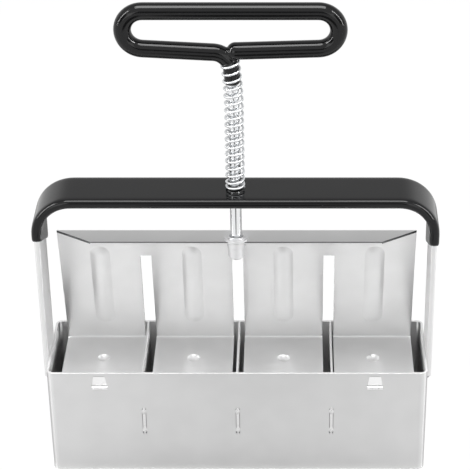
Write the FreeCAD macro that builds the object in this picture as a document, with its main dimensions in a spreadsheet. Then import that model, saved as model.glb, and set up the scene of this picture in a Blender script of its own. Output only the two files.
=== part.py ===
import FreeCAD, Part
import math
import os
import Sketcher

# Hand-held soil blocker: four square cells in a row under a bail, with a sprung ejector
# that presses and then pushes out the blocks. +X runs along the row of cells, +Y to the
# back, +Z up. The origin is on the bench, under the middle of the mould.
# Lengths are millimetres, angles degrees.

CELLS = 4

# Driving dimensions: name, value and what it is.
SIZES = (
    ("cell_length", 50.0, "inside of one cell along the row"),
    ("cell_width", 50.0, "inside of one cell from front to back"),
    ("mould_height", 64.2, "bench to rim"),
    ("wall_sheet", 1.2, "thickness of the mould's wall"),
    ("divider_sheet", 1.0, "thickness of a divider"),
    ("corner_radius", 3.5, "outer radius of the mould's upright corners"),
    ("seam_gap", 0.2, "butt seam of the wall, under the right leg"),
    ("tab_middle", 32.7, "bench to the middle of a divider's tab"),
    ("tab_height", 16.6, "height of a divider's tab"),
    ("tab_fit", 0.05, "clearance round a tab in its slot"),
    ("tab_head_width", 2.2, "staked head of a tab, along the row"),
    ("tab_head_proud", 0.6, "staked head of a tab, out of the wall"),
    ("tab_head_bevel", 0.35, "bevel round a staked head"),
    ("stop_rim", 1.8, "rim down to the top of a pressed stop"),
    ("stop_tall", 6.9, "height of a pressed stop"),
    ("stop_wide", 8.3, "width of a stop at its ledge"),
    ("stop_narrow", 6.0, "width of a stop at its top"),
    ("stop_depth", 2.4, "how far a stop is pressed inward"),
    ("stop_slit", 0.5, "slit under a stop's ledge"),
    ("strip_width", 25.0, "bail strip, front to back"),
    ("strip_thick", 2.8, "thickness of the bail strip"),
    ("strip_edge", 0.8, "rounding of the strip's long edges"),
    ("leg_lap", 11.2, "overlap of a leg on the end wall"),
    ("leg_reach", 98.0, "rim up to the top of the bare bar"),
    ("bail_bend", 18.5, "bend radius at the middle of the strip"),
    ("weld_leg", 2.4, "leg of the weld bead under a strip's end"),
    ("weld_crown", 0.5, "how far a weld bead bulges"),
    ("weld_inset", 1.0, "end of a weld bead short of the strip's edge"),
    ("coat_skin", 1.1, "thickness of the PVC on the bail"),
    ("dip_left", 30.1, "bar's top down to the coat's end on the left leg"),
    ("dip_right", 32.7, "bar's top down to the coat's end on the right leg"),
    ("dip_tilt", 26.0, "tilt of the coat's end line"),
    ("lining_skin", 0.92, "PVC lining of the guide hole"),
    ("guide_play", 0.08, "radial running clearance of the rod in its guide"),
    ("rod_dia", 6.0, "plunger rod"),
    ("spring_long", 72.7, "fitted length of the return spring"),
    ("spring_wire", 1.1, "wire of the return spring"),
    ("spring_play", 0.25, "coat on the stem to the spring's smallest turn"),
    ("spring_flare", 0.45, "how much the spring's radius grows towards the bar"),
    ("spring_turns", 17.0, "turns from one closed end ring to the other"),
    ("grip_skin", 1.5, "PVC on the handle's loop"),
    ("stem_skin", 0.35, "PVC on the stem inside the spring"),
    ("stem_coat_long", 12.0, "length of the coat on the stem"),
    ("bend_inside", 0.5, "inside radius of the coated bend at the stem"),
    ("bend_run", 0.3, "straight stem between the coat's shoulder and the bend"),
    ("limb_tilt_left", 3.2, "rise of the left lower limb, outward"),
    ("limb_tilt_right", 1.8, "rise of the right lower limb, outward"),
    ("limb_tip", 1.5, "stem's axis to the middle of the right limb's round end"),
    ("loop_left", 55.0, "stem's axis to the loop's left end, middle of the rod"),
    ("loop_right", 53.0, "stem's axis to the loop's right end, middle of the rod"),
    ("loop_bend", 10.15, "bend radius of the loop's ends"),
    ("ejector_sheet", 1.2, "thickness of the ejector's sheet"),
    ("bench_gap", 5.0, "bench to the seed dimples at full stroke"),
    ("stop_gap", 0.1, "press plates under the stops' ledges at rest"),
    ("pitch_short", 1.4, "cells' pitch less the press plates' pitch"),
    ("slot_wide", 6.0, "slot between two fingers of the ejector"),
    ("slot_spare", 3.3, "dividers' rims to the slots' tops at full stroke"),
    ("back_play", 1.1, "back wall to the ejector's lower fold"),
    ("front_play", 1.4, "front wall to a press plate"),
    ("web_rise", 78.1, "press plates' top to the flange's top"),
    ("web_lean", 10.8, "forward lean of the web"),
    ("fold_radius", 1.6, "folds at the middle of the sheet"),
    ("flange_front", 4.4, "rod's axis to the flange's front edge"),
    ("cut_long", 19.0, "cut corner of the flange, along the row"),
    ("cut_deep", 12.0, "cut corner of the flange, front to back"),
    ("rib_low_gap", 10.5, "lower fold to a pressed rib, along the web"),
    ("rib_top_gap", 9.75, "upper fold to a pressed rib, along the web"),
    ("rib_wide", 10.6, "width of a pressed rib"),
    ("rib_high", 0.8, "height of a pressed rib"),
    ("dimple_dia", 7.0, "seed dimple across its mouth"),
    ("dimple_deep", 1.2, "depth of a seed dimple"),
    ("dimple_back", 1.5, "rod's axis back to the seed dimples"),
    ("nut_fit", 0.05, "radial clearance of the rod and of the barrel"),
    ("nut_wall", 1.45, "wall of the rivet nut's barrel"),
    ("nut_head_lip", 2.15, "head beyond the barrel"),
    ("nut_head_thick", 1.2, "thickness of the head"),
    ("nut_ring_wide", 1.05, "width of the ring raised on the head"),
    ("nut_ring_high", 0.7, "height of the ring raised on the head"),
    ("nut_mouth_bevel", 0.9, "countersink of the mouth"),
    ("nut_bulge_proud", 0.5, "set bulge beyond the barrel"),
    ("nut_bulge_long", 3.4, "set bulge under the flange"),
    ("nut_long", 10.8, "flange's underside to the nut's closed end"),
    ("nut_floor", 1.6, "thickness of the nut's closed end"),
    ("nut_bevel", 1.5, "bevel round the closed end"),
)

# Places that follow from the driving dimensions: name and formula.
PLACES = (
    ("divider_pitch", "Sizes.cell_length + Sizes.divider_sheet"),
    ("inside_x", f"({CELLS} * Sizes.cell_length + {CELLS - 1} * Sizes.divider_sheet) / 2"),
    ("inside_y", "Sizes.cell_width / 2"),
    ("outside_x", "inside_x + Sizes.wall_sheet"),
    ("outside_y", "inside_y + Sizes.wall_sheet"),
    ("inner_corner", "Sizes.corner_radius - Sizes.wall_sheet"),
    ("corner_x", "outside_x - Sizes.corner_radius"),
    ("corner_y", "outside_y - Sizes.corner_radius"),
    ("seam_in", "inside_x - Sizes.wall_sheet"),
    ("seam_out", "outside_x + Sizes.wall_sheet"),
    ("seam_half", "Sizes.seam_gap / 2"),
    ("tab_low", "Sizes.tab_middle - Sizes.tab_height / 2"),
    ("tab_top", "Sizes.tab_middle + Sizes.tab_height / 2"),
    ("tab_tip", "outside_y + Sizes.tab_head_proud"),
    ("tab_slot_low", "tab_low - Sizes.tab_fit"),
    ("tab_slot_top", "tab_top + Sizes.tab_fit"),
    ("tab_slot_half", "Sizes.divider_sheet / 2 + Sizes.tab_fit"),
    ("tab_slot_in", "divider_pitch - tab_slot_half"),
    ("tab_slot_out", "divider_pitch + tab_slot_half"),
    ("ledge", "Sizes.mould_height - Sizes.stop_rim - Sizes.stop_tall"),
    ("leg_foot", "Sizes.mould_height - Sizes.leg_lap"),
    ("leg_line", "outside_x + Sizes.strip_thick / 2"),
    ("bar_top", "Sizes.mould_height + Sizes.leg_reach"),
    ("bar_line", "bar_top - Sizes.strip_thick / 2"),
    ("bend_low", "bar_line - Sizes.bail_bend"),
    ("bend_in", "leg_line - Sizes.bail_bend"),
    ("section_x", "Sizes.strip_thick / 2 - Sizes.strip_edge"),
    ("section_y", "Sizes.strip_width / 2 - Sizes.strip_edge"),
    ("weld_out", "outside_x + Sizes.weld_leg"),
    ("weld_low", "leg_foot - Sizes.weld_leg"),
    ("weld_long", "Sizes.strip_width - 2 * Sizes.weld_inset"),
    ("weld_radius", "(Sizes.weld_leg ^ 2 / 2 + Sizes.weld_crown ^ 2) / (2 * Sizes.weld_crown)"),
    ("weld_inward", "(weld_radius - Sizes.weld_crown) / sqrt(2) - Sizes.weld_leg / 2"),
    ("weld_centre_x", "outside_x - weld_inward"),
    ("weld_centre_z", "leg_foot + weld_inward"),
    ("coat_edge", "Sizes.strip_edge + Sizes.coat_skin"),
    ("dip_half", "Sizes.strip_width / 2 + 2 * Sizes.coat_skin"),
    ("dip_rise", "dip_half * tan(Sizes.dip_tilt)"),
    ("dip_left_front", "bar_top - Sizes.dip_left + dip_rise"),
    ("dip_left_back", "bar_top - Sizes.dip_left - dip_rise"),
    ("dip_right_front", "bar_top - Sizes.dip_right + dip_rise"),
    ("dip_right_back", "bar_top - Sizes.dip_right - dip_rise"),
    ("rod_radius", "Sizes.rod_dia / 2"),
    ("guide_bore", "rod_radius + Sizes.guide_play"),
    ("guide_hole", "guide_bore + Sizes.lining_skin"),
    ("spring_seat", "bar_top + Sizes.coat_skin"),
    ("shoulder", "spring_seat + Sizes.spring_long"),
    ("stem_coat_foot", "shoulder - Sizes.stem_coat_long"),
    ("stem_coat_radius", "rod_radius + Sizes.stem_skin"),
    ("wire_radius", "Sizes.spring_wire / 2"),
    ("spring_top_radius", "stem_coat_radius + Sizes.spring_play + wire_radius"),
    ("spring_low_radius", "spring_top_radius + Sizes.spring_flare"),
    ("spring_rise", "Sizes.spring_long - Sizes.spring_wire"),
    ("spring_pitch", "spring_rise / Sizes.spring_turns"),
    ("spring_taper", "-atan(Sizes.spring_flare / spring_rise)"),
    ("spring_low", "spring_seat + wire_radius"),
    ("spring_high", "spring_low + spring_rise"),
    ("grip_radius", "rod_radius + Sizes.grip_skin"),
    ("stem_bend", "grip_radius + Sizes.bend_inside"),
    ("stem_bend_z", "shoulder + Sizes.bend_run"),
    ("loop_left_x", "Sizes.loop_left - Sizes.loop_bend"),
    ("loop_right_x", "Sizes.loop_right - Sizes.loop_bend"),
    ("limb_run", "(loop_left_x - stem_bend) * sin(Sizes.limb_tilt_left)"),
    ("loop_rise", "(stem_bend + Sizes.loop_bend + limb_run) / cos(Sizes.limb_tilt_left)"),
    ("loop_z", "stem_bend_z + loop_rise"),
    ("limb_drop", "(loop_right_x - Sizes.limb_tip) * tan(Sizes.limb_tilt_right)"),
    ("limb_tip_z", "loop_z - Sizes.loop_bend / cos(Sizes.limb_tilt_right) - limb_drop"),
    ("plate_pitch", "divider_pitch - Sizes.pitch_short"),
    ("plate_top", "ledge - Sizes.stop_gap"),
    ("plate_line", "plate_top - Sizes.ejector_sheet / 2"),
    ("plate_front", "inside_y - Sizes.front_play"),
    ("plates_end", f"({CELLS} * plate_pitch - Sizes.slot_wide) / 2"),
    ("travel", "plate_top - Sizes.dimple_deep - Sizes.ejector_sheet - Sizes.bench_gap"),
    ("fold_y", "inside_y - Sizes.back_play - Sizes.ejector_sheet / 2 - Sizes.fold_radius"),
    ("fold_z", "plate_line + Sizes.fold_radius"),
    ("flange_top", "plate_top + Sizes.web_rise"),
    ("flange_line", "flange_top - Sizes.ejector_sheet / 2"),
    ("flange_under", "flange_top - Sizes.ejector_sheet"),
    ("web_run", "(Sizes.web_rise - 2 * Sizes.fold_radius) / cos(Sizes.web_lean)"),
    ("top_fold_y", "fold_y - web_run * sin(Sizes.web_lean)"),
    ("top_fold_z", "flange_line - Sizes.fold_radius"),
    ("sheet_half", "Sizes.ejector_sheet / 2"),
    ("slot_half", "Sizes.slot_wide / 2"),
    ("slot_in", "plate_pitch - slot_half"),
    ("slot_out", "plate_pitch + slot_half"),
    ("slot_top", "Sizes.mould_height + travel + Sizes.slot_spare"),
    ("cut_x", "plates_end - Sizes.cut_long"),
    ("cut_y", "Sizes.cut_deep - Sizes.flange_front"),
    ("cut_past_x", "plates_end + Sizes.ejector_sheet"),
    ("cut_past_y", "Sizes.flange_front + Sizes.ejector_sheet"),
    ("rib_radius", "(Sizes.rib_wide ^ 2 / 4 + Sizes.rib_high ^ 2) / (2 * Sizes.rib_high)"),
    ("rib_hollow", "rib_radius - Sizes.ejector_sheet"),
    ("rib_behind", "Sizes.fold_radius + rib_radius - Sizes.rib_high - sheet_half"),
    ("rib_low", "Sizes.rib_low_gap + Sizes.rib_wide / 2"),
    ("rib_run", "web_run - Sizes.rib_top_gap - Sizes.rib_wide / 2 - rib_low"),
    ("rib_low_y", "fold_y + rib_behind * cos(Sizes.web_lean) - rib_low * sin(Sizes.web_lean)"),
    ("rib_low_z", "fold_z + rib_behind * sin(Sizes.web_lean) + rib_low * cos(Sizes.web_lean)"),
    ("rib_top_y", "rib_low_y - rib_run * sin(Sizes.web_lean)"),
    ("rib_top_z", "rib_low_z + rib_run * cos(Sizes.web_lean)"),
    ("web_foot_y", "fold_y + Sizes.fold_radius * cos(Sizes.web_lean)"),
    ("web_foot_z", "fold_z + Sizes.fold_radius * sin(Sizes.web_lean)"),
    ("dimple_hollow", "(Sizes.dimple_dia ^ 2 / 4 + Sizes.dimple_deep ^ 2) / (2 * Sizes.dimple_deep)"),
    ("dimple_shell", "dimple_hollow + Sizes.ejector_sheet"),
    ("dimple_z", "plate_top - Sizes.dimple_deep + dimple_hollow"),
    ("nut_bore", "rod_radius + Sizes.nut_fit"),
    ("nut_mouth", "nut_bore + Sizes.nut_mouth_bevel"),
    ("nut_ring", "nut_mouth + Sizes.nut_ring_wide"),
    ("nut_barrel", "nut_bore + Sizes.nut_wall"),
    ("nut_head", "nut_barrel + Sizes.nut_head_lip"),
    ("nut_bulge", "nut_barrel + Sizes.nut_bulge_proud"),
    ("nut_tip", "nut_barrel - Sizes.nut_bevel"),
    ("nut_hole", "nut_barrel + Sizes.nut_fit"),
    ("nut_head_top", "flange_top + Sizes.nut_head_thick"),
    ("nut_ring_top", "nut_head_top + Sizes.nut_ring_high"),
    ("nut_mouth_low", "nut_ring_top - Sizes.nut_mouth_bevel"),
    ("nut_bulge_low", "flange_under - Sizes.nut_bulge_long"),
    ("nut_neck", "nut_bulge_low - Sizes.nut_bulge_proud"),
    ("nut_end", "flange_under - Sizes.nut_long"),
    ("nut_round", "nut_end + Sizes.nut_bevel"),
    ("nut_bottom", "nut_end + Sizes.nut_floor"),
    ("rod_foot", "nut_bottom + Sizes.nut_fit"),
)

doc = FreeCAD.newDocument("soil_blocker")


def fill_sheet(name, rows):
    """A spreadsheet with an alias, its content and a note on each row."""
    sheet = doc.addObject("Spreadsheet::Sheet", name)
    for row, (alias, content, note) in enumerate(rows, 1):
        sheet.set(f"A{row}", alias)
        sheet.set(f"B{row}", content)
        sheet.set(f"C{row}", note)
        sheet.setAlias(f"B{row}", alias)
    return sheet


sizes = fill_sheet("Sizes", [(alias, str(value), note) for alias, value, note in SIZES])
places = fill_sheet("Places", [(alias, "=" + formula, "") for alias, formula in PLACES])
doc.recompute()

SIZE_NAMES = {alias for alias, value, note in SIZES}
X_AXIS = FreeCAD.Vector(1, 0, 0)
Y_AXIS = FreeCAD.Vector(0, 1, 0)
Z_AXIS = FreeCAD.Vector(0, 0, 1)


def link(name):
    """The expression that reads a named value; a leading minus turns its sign."""
    alias = name.lstrip("-")
    sheet = "Sizes" if alias in SIZE_NAMES else "Places"
    return name.replace(alias, f"{sheet}.{alias}")


def number(name):
    """A named value as a plain number, for a sketch's first geometry."""
    alias = name.lstrip("-")
    found = (sizes if alias in SIZE_NAMES else places).get(alias)
    plain = float(getattr(found, "Value", found))
    return -plain if name.startswith("-") else plain


def bind(thing, **names):
    """Ties properties to named values; two underscores in a path stand for a dot."""
    for path, name in names.items():
        thing.setExpression(path.replace("__", "."), link(name))


def bind_formulas(thing, rows):
    """Ties properties to formulas."""
    for path, formula in rows:
        thing.setExpression(path, formula)


def new_body(label):
    body = doc.addObject("PartDesign::Body", label)
    body.Label = label
    return body


def new_sketch(body, role):
    """A sketch on one of the body's own origin planes."""
    sketch = body.newObject("Sketcher::SketchObject", body.Name + "_sketch")
    plane = next(feature for feature in body.Origin.OriginFeatures if feature.Role == role)
    sketch.AttachmentSupport = [(plane, "")]
    sketch.MapMode = "FlatFace"
    return sketch


def raised_sketch(body, height):
    """A level sketch at a named height."""
    sketch = new_sketch(body, "XY_Plane")
    bind(sketch, AttachmentOffset__Base__z=height)
    return sketch


def add_driven(sketch, constraint, name):
    """A constraint whose value follows a named value."""
    index = sketch.addConstraint(constraint)
    sketch.setExpression(f"Constraints[{index}]", link(name))


def pin(sketch, edge, end, place):
    """Holds one point of an edge at two named coordinates; None is the axis."""
    for kind, name, axis in zip(("DistanceX", "DistanceY"), place, (-2, -1)):
        if name:
            rule = Sketcher.Constraint(kind, -1, 1, edge, end, number(name))
            add_driven(sketch, rule, name)
        else:
            sketch.addConstraint(Sketcher.Constraint("PointOnObject", edge, end, axis))


def point(place):
    """A sketch point from two named coordinates; None is the axis."""
    across, up = [number(name) if name else 0.0 for name in place]
    return FreeCAD.Vector(across, up, 0)


def rim_point(centre, radius, angle):
    """The point of a circle at an angle."""
    turn = math.radians(angle)
    return point(centre) + FreeCAD.Vector(math.cos(turn), math.sin(turn), 0) * number(radius)


def draw_polygon(sketch, corners):
    """A closed outline of straight lines through named corners."""
    first = sketch.GeometryCount
    count = len(corners)
    for turn in range(count):
        line = Part.LineSegment(point(corners[turn]), point(corners[(turn + 1) % count]))
        sketch.addGeometry(line, False)
    for turn, corner in enumerate(corners):
        following = first + (turn + 1) % count
        sketch.addConstraint(Sketcher.Constraint("Coincident", first + turn, 2, following, 1))
        pin(sketch, first + turn, 1, corner)


def draw_rectangle(sketch, left, right, low, high):
    draw_polygon(sketch, ((left, low), (right, low), (right, high), (left, high)))


def draw_circle(sketch, radius):
    """A circle about the sketch's origin."""
    circle = Part.Circle(FreeCAD.Vector(), Z_AXIS, number(radius))
    edge = sketch.addGeometry(circle, False)
    sketch.addConstraint(Sketcher.Constraint("Coincident", edge, 3, -1, 1))
    add_driven(sketch, Sketcher.Constraint("Radius", edge, number(radius)), radius)


def draw_run(sketch, arcs, start=None, end=None):
    """Tangent lines from a start round each arc and on to an end, or round a closed loop.

    An arc is its centre, its radius and the angles where the run meets and leaves it.
    """
    here = point(start) if start else rim_point(*arcs[-1][:2], arcs[-1][3])
    edges = []
    for centre, radius, meet, leave in arcs:
        line = Part.LineSegment(here, rim_point(centre, radius, meet))
        edges.append((sketch.addGeometry(line, False), 1, 2))
        circle = Part.Circle(point(centre), Z_AXIS, number(radius))
        low, high = sorted((math.radians(meet), math.radians(leave)))
        arc = sketch.addGeometry(Part.ArcOfCircle(circle, low, high), False)
        edges.append((arc, 1, 2) if leave > meet else (arc, 2, 1))
        add_driven(sketch, Sketcher.Constraint("Radius", arc, number(radius)), radius)
        pin(sketch, arc, 3, centre)
        here = rim_point(centre, radius, leave)
    if start:
        last = sketch.addGeometry(Part.LineSegment(here, point(end)), False)
        edges.append((last, 1, 2))
        pin(sketch, edges[0][0], 1, start)
        pin(sketch, last, 2, end)
    else:
        edges.append(edges[0])
    for (edge, enter, leave), (after, meet, finish) in zip(edges, edges[1:]):
        sketch.addConstraint(Sketcher.Constraint("Tangent", edge, leave, after, meet))


def draw_rounded(sketch, centre_x, centre_y, radius):
    """A rectangle with round corners, given by one corner's centre and the radius."""
    draw_run(sketch, (
        ((centre_x, "-" + centre_y), radius, 270, 360),
        ((centre_x, centre_y), radius, 0, 90),
        (("-" + centre_x, centre_y), radius, 90, 180),
        (("-" + centre_x, "-" + centre_y), radius, 180, 270),
    ))


def pad(body, sketch, length, both_ways=False):
    feature = body.newObject("PartDesign::Pad", body.Name + "_pad")
    feature.Profile = sketch
    feature.Midplane = both_ways
    bind(feature, Length=length)
    return feature


def pocket(body, sketch, both_ways=False, along=False):
    """A cut right through: both ways, against the sketch's normal or along it."""
    feature = body.newObject("PartDesign::Pocket", body.Name + "_pocket")
    feature.Profile = sketch
    feature.Type = "ThroughAll"
    feature.Midplane = both_ways
    feature.Reversed = along
    return feature


def pipe(body, profile, path, first, last):
    """Sweeps a profile along a stretch of a path sketch."""
    feature = body.newObject("PartDesign::AdditivePipe", body.Name + "_pipe")
    feature.Profile = profile
    feature.Spine = (path, [f"Edge{edge}" for edge in range(first, last + 1)])
    return feature


def combine(kind, name, **parts):
    """A boolean whose result carries the name as its label."""
    result = doc.addObject("Part::" + kind, name)
    for role, part in parts.items():
        setattr(result, role, part)
    result.Label = name
    return result


def make_mould_wall():
    """One strip of sheet bent round the four cells, open at the top and the bottom."""
    body = new_body("mould_wall")
    outline = new_sketch(body, "XY_Plane")
    draw_rounded(outline, "corner_x", "corner_y", "corner_radius")
    pad(body, outline, "mould_height")
    hollow = new_sketch(body, "XY_Plane")
    draw_rounded(hollow, "corner_x", "corner_y", "inner_corner")
    pocket(body, hollow, along=True)
    seam = new_sketch(body, "XY_Plane")
    draw_rectangle(seam, "seam_in", "seam_out", "-seam_half", "seam_half")
    pocket(body, seam, along=True)
    slots = new_sketch(body, "XZ_Plane")
    for left, right in (
        ("-tab_slot_out", "-tab_slot_in"),
        ("-tab_slot_half", "tab_slot_half"),
        ("tab_slot_in", "tab_slot_out"),
    ):
        draw_rectangle(slots, left, right, "tab_slot_low", "tab_slot_top")
    pocket(body, slots, both_ways=True)
    for side in (-1, 1):
        press_stop(body, side)
    return body


def press_stop(body, side):
    """A stop pressed inward over an outer press plate and slit free along its ledge."""
    middle = f"{side} * Places.plate_pitch * {CELLS - 1} / 2"
    swell = body.newObject("PartDesign::AdditiveWedge", "stop_swell")
    shape_wedge(swell, middle, "-Places.inside_y", "Sizes.wall_sheet", "Sizes.wall_sheet / 2")
    scoop = body.newObject("PartDesign::SubtractiveWedge", "stop_scoop")
    shape_wedge(scoop, middle, "-Places.outside_y", "0", "0")
    slit = body.newObject("PartDesign::SubtractiveBox", "stop_slit")
    bind_formulas(slit, (
        ("Placement.Base.x", f"{middle} - Sizes.stop_wide / 2"),
        ("Placement.Base.y", "-Places.tab_tip"),
        ("Placement.Base.z", "Places.ledge - Sizes.stop_slit"),
        ("Length", "Sizes.stop_wide"),
        ("Width", "Places.tab_tip - Places.inside_y + Sizes.wall_sheet"),
        ("Height", "Sizes.stop_slit"),
    ))


def shape_wedge(wedge, middle, plane, margin, root):
    """A wedge that is deepest at the ledge and runs out at its top.

    Its Y axis points up and its Z axis out of the front wall. The margin widens and
    raises it, and the root sinks it into the wall.
    """
    wedge.Placement = FreeCAD.Placement(FreeCAD.Vector(), FreeCAD.Rotation(X_AXIS, 90))
    bind_formulas(wedge, (
        ("Placement.Base.x", middle),
        ("Placement.Base.y", plane),
        ("Placement.Base.z", "Places.ledge"),
        ("Ymin", "0"),
        ("Ymax", f"Sizes.stop_tall + {margin}"),
        ("Xmin", f"-Sizes.stop_wide / 2 - {margin}"),
        ("Xmax", f"Sizes.stop_wide / 2 + {margin}"),
        ("X2min", f"-Sizes.stop_narrow / 2 - {margin}"),
        ("X2max", f"Sizes.stop_narrow / 2 + {margin}"),
        ("Zmin", "-Sizes.stop_depth"),
        ("Zmax", root),
        ("Z2min", "0"),
        ("Z2max", root),
    ))


def make_divider(label, steps):
    """A wall between two cells, with a staked tab through the front and back walls."""
    body = new_body(label)
    body.setExpression("Placement.Base.x", f"{steps} * Places.divider_pitch")
    sheet = new_sketch(body, "YZ_Plane")
    back = (
        ("inside_y", None),
        ("inside_y", "tab_low"),
        ("tab_tip", "tab_low"),
        ("tab_tip", "tab_top"),
        ("inside_y", "tab_top"),
        ("inside_y", "mould_height"),
    )
    front = tuple(("-" + across, up) for across, up in reversed(back))
    draw_polygon(sheet, back + front)
    pad(body, sheet, "divider_sheet", both_ways=True)
    for near, far in (("outside_y", "tab_tip"), ("-tab_tip", "-outside_y")):
        head = new_sketch(body, "YZ_Plane")
        draw_rectangle(head, near, far, "tab_low", "tab_top")
        staked = pad(body, head, "tab_head_width", both_ways=True)
    doc.recompute()
    bevel = body.newObject("PartDesign::Chamfer", body.Name + "_bevel")
    bevel.Base = (staked, edges_at_reach(staked.Shape, number("tab_tip")))
    bind(bevel, Size="tab_head_bevel")
    return body


def edges_at_reach(shape, reach):
    """Names of the edges that lie this far in front or behind."""
    names = []
    for index, edge in enumerate(shape.Edges, 1):
        if all(math.isclose(abs(vertex.Y), reach) for vertex in edge.Vertexes):
            names.append(f"Edge{index}")
    return names


def sweep_strip(body, edge):
    """The bent strip with edges of a named radius, from the left leg's foot to the right's."""
    path = new_sketch(body, "XZ_Plane")
    draw_run(
        path,
        (
            (("-bend_in", "bend_low"), "bail_bend", 180, 90),
            (("bend_in", "bend_low"), "bail_bend", 90, 0),
        ),
        start=("-leg_line", "leg_foot"),
        end=("leg_line", "leg_foot"),
    )
    section = raised_sketch(body, "leg_foot")
    bind(section, AttachmentOffset__Base__x="-leg_line")
    draw_rounded(section, "section_x", "section_y", edge)
    pipe(body, section, path, 1, 5)


def make_bail_strip():
    """Flat strip bent over the mould, with the plunger's guide hole in its bar."""
    body = new_body("bail_strip")
    sweep_strip(body, "strip_edge")
    hole = new_sketch(body, "XY_Plane")
    draw_circle(hole, "guide_hole")
    pocket(body, hole, along=True)
    return body


def make_bail_coat(strip):
    """PVC round the bar and the upper legs and inside the guide hole."""
    body = new_body("bail_coat_skin")
    sweep_strip(body, "coat_edge")
    for side in ("left", "right"):
        below = new_sketch(body, "YZ_Plane")
        draw_polygon(below, (
            ("-dip_half", None),
            ("dip_half", None),
            ("dip_half", f"dip_{side}_back"),
            ("-dip_half", f"dip_{side}_front"),
        ))
        pocket(body, below, along=side == "right")
    bore = new_sketch(body, "XY_Plane")
    draw_circle(bore, "guide_bore")
    pocket(body, bore, along=True)
    return combine("Cut", "bail_coat", Base=body, Tool=strip)


def make_weld(label, turn):
    """Bead in the corner under a leg's foot, drawn at the right and turned to its side."""
    body = new_body(label)
    body.Placement = FreeCAD.Placement(FreeCAD.Vector(), FreeCAD.Rotation(Z_AXIS, turn))
    bead = new_sketch(body, "XZ_Plane")
    foot, root, out = ("outside_x", "weld_low"), ("outside_x", "leg_foot"), ("weld_out", "leg_foot")
    bead.addGeometry(Part.LineSegment(point(out), point(root)), False)
    bead.addGeometry(Part.LineSegment(point(root), point(foot)), False)
    centre = point(("weld_centre_x", "weld_centre_z"))
    circle = Part.Circle(centre, Z_AXIS, number("weld_radius"))
    start, end = circle.parameter(point(foot)), circle.parameter(point(out))
    bead.addGeometry(Part.ArcOfCircle(circle, start, end), False)
    for edge, leave, after, meet in ((0, 2, 1, 1), (1, 2, 2, 1), (2, 2, 0, 1)):
        bead.addConstraint(Sketcher.Constraint("Coincident", edge, leave, after, meet))
    pin(bead, 0, 1, out)
    pin(bead, 0, 2, root)
    pin(bead, 1, 2, foot)
    add_driven(bead, Sketcher.Constraint("Radius", 2, number("weld_radius")), "weld_radius")
    pad(body, bead, "weld_long", both_ways=True)
    return body


def draw_handle(body, foot, radius):
    """A round bar bent from the stem to the left, over the loop and back to the stem."""
    path = new_sketch(body, "XZ_Plane")
    left, right = sizes.limb_tilt_left, sizes.limb_tilt_right
    draw_run(
        path,
        (
            (("-stem_bend", "stem_bend_z"), "stem_bend", 0, 90 - left),
            (("-loop_left_x", "loop_z"), "loop_bend", 270 - left, 90),
            (("loop_right_x", "loop_z"), "loop_bend", 90, right - 90),
        ),
        start=(None, foot),
        end=("limb_tip", "limb_tip_z"),
    )
    section = raised_sketch(body, foot)
    draw_circle(section, radius)
    pipe(body, section, path, 1, 6)
    limb_section = body.newObject("Sketcher::SketchObject", body.Name + "_limb")
    limb_section.AttachmentSupport = [(path, "Edge7")]
    limb_section.MapMode = "NormalToEdge"
    draw_circle(limb_section, radius)
    pipe(body, limb_section, path, 7, 7)
    tip = body.newObject("PartDesign::AdditiveSphere", body.Name + "_tip")
    tip.Placement = FreeCAD.Placement(FreeCAD.Vector(), FreeCAD.Rotation(Y_AXIS, 90))
    tip.setExpression("Placement.Rotation.Angle", "90 - Sizes.limb_tilt_right")
    bind(tip, Radius=radius, Placement__Base__x="limb_tip", Placement__Base__z="limb_tip_z")


def make_plunger_rod():
    """The rod from the rivet nut up through the bar, and the loop bent from it."""
    body = new_body("plunger_rod")
    draw_handle(body, "rod_foot", "rod_radius")
    return body


def make_handle_coat(rod):
    """PVC on the loop, and thinner on the stem below the shoulder."""
    body = new_body("handle_coat_skin")
    draw_handle(body, "shoulder", "grip_radius")
    stem = raised_sketch(body, "stem_coat_foot")
    draw_circle(stem, "stem_coat_radius")
    pad(body, stem, "stem_coat_long")
    return combine("Cut", "handle_coat", Base=body, Tool=rod)


def make_rivet_nut():
    """Blind rivet nut set in the flange; the rod ends on its floor."""
    body = new_body("rivet_nut")
    profile = new_sketch(body, "XZ_Plane")
    draw_polygon(profile, (
        (None, "nut_end"),
        ("nut_tip", "nut_end"),
        ("nut_barrel", "nut_round"),
        ("nut_barrel", "nut_neck"),
        ("nut_bulge", "nut_bulge_low"),
        ("nut_bulge", "flange_under"),
        ("nut_barrel", "flange_under"),
        ("nut_barrel", "flange_top"),
        ("nut_head", "flange_top"),
        ("nut_head", "nut_head_top"),
        ("nut_ring", "nut_head_top"),
        ("nut_ring", "nut_ring_top"),
        ("nut_mouth", "nut_ring_top"),
        ("nut_bore", "nut_mouth_low"),
        ("nut_bore", "nut_bottom"),
        (None, "nut_bottom"),
    ))
    turned = body.newObject("PartDesign::Revolution", "rivet_nut_turned")
    turned.Profile = profile
    turned.ReferenceAxis = (profile, ["V_Axis"])
    turned.Angle = 360
    return body


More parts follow.
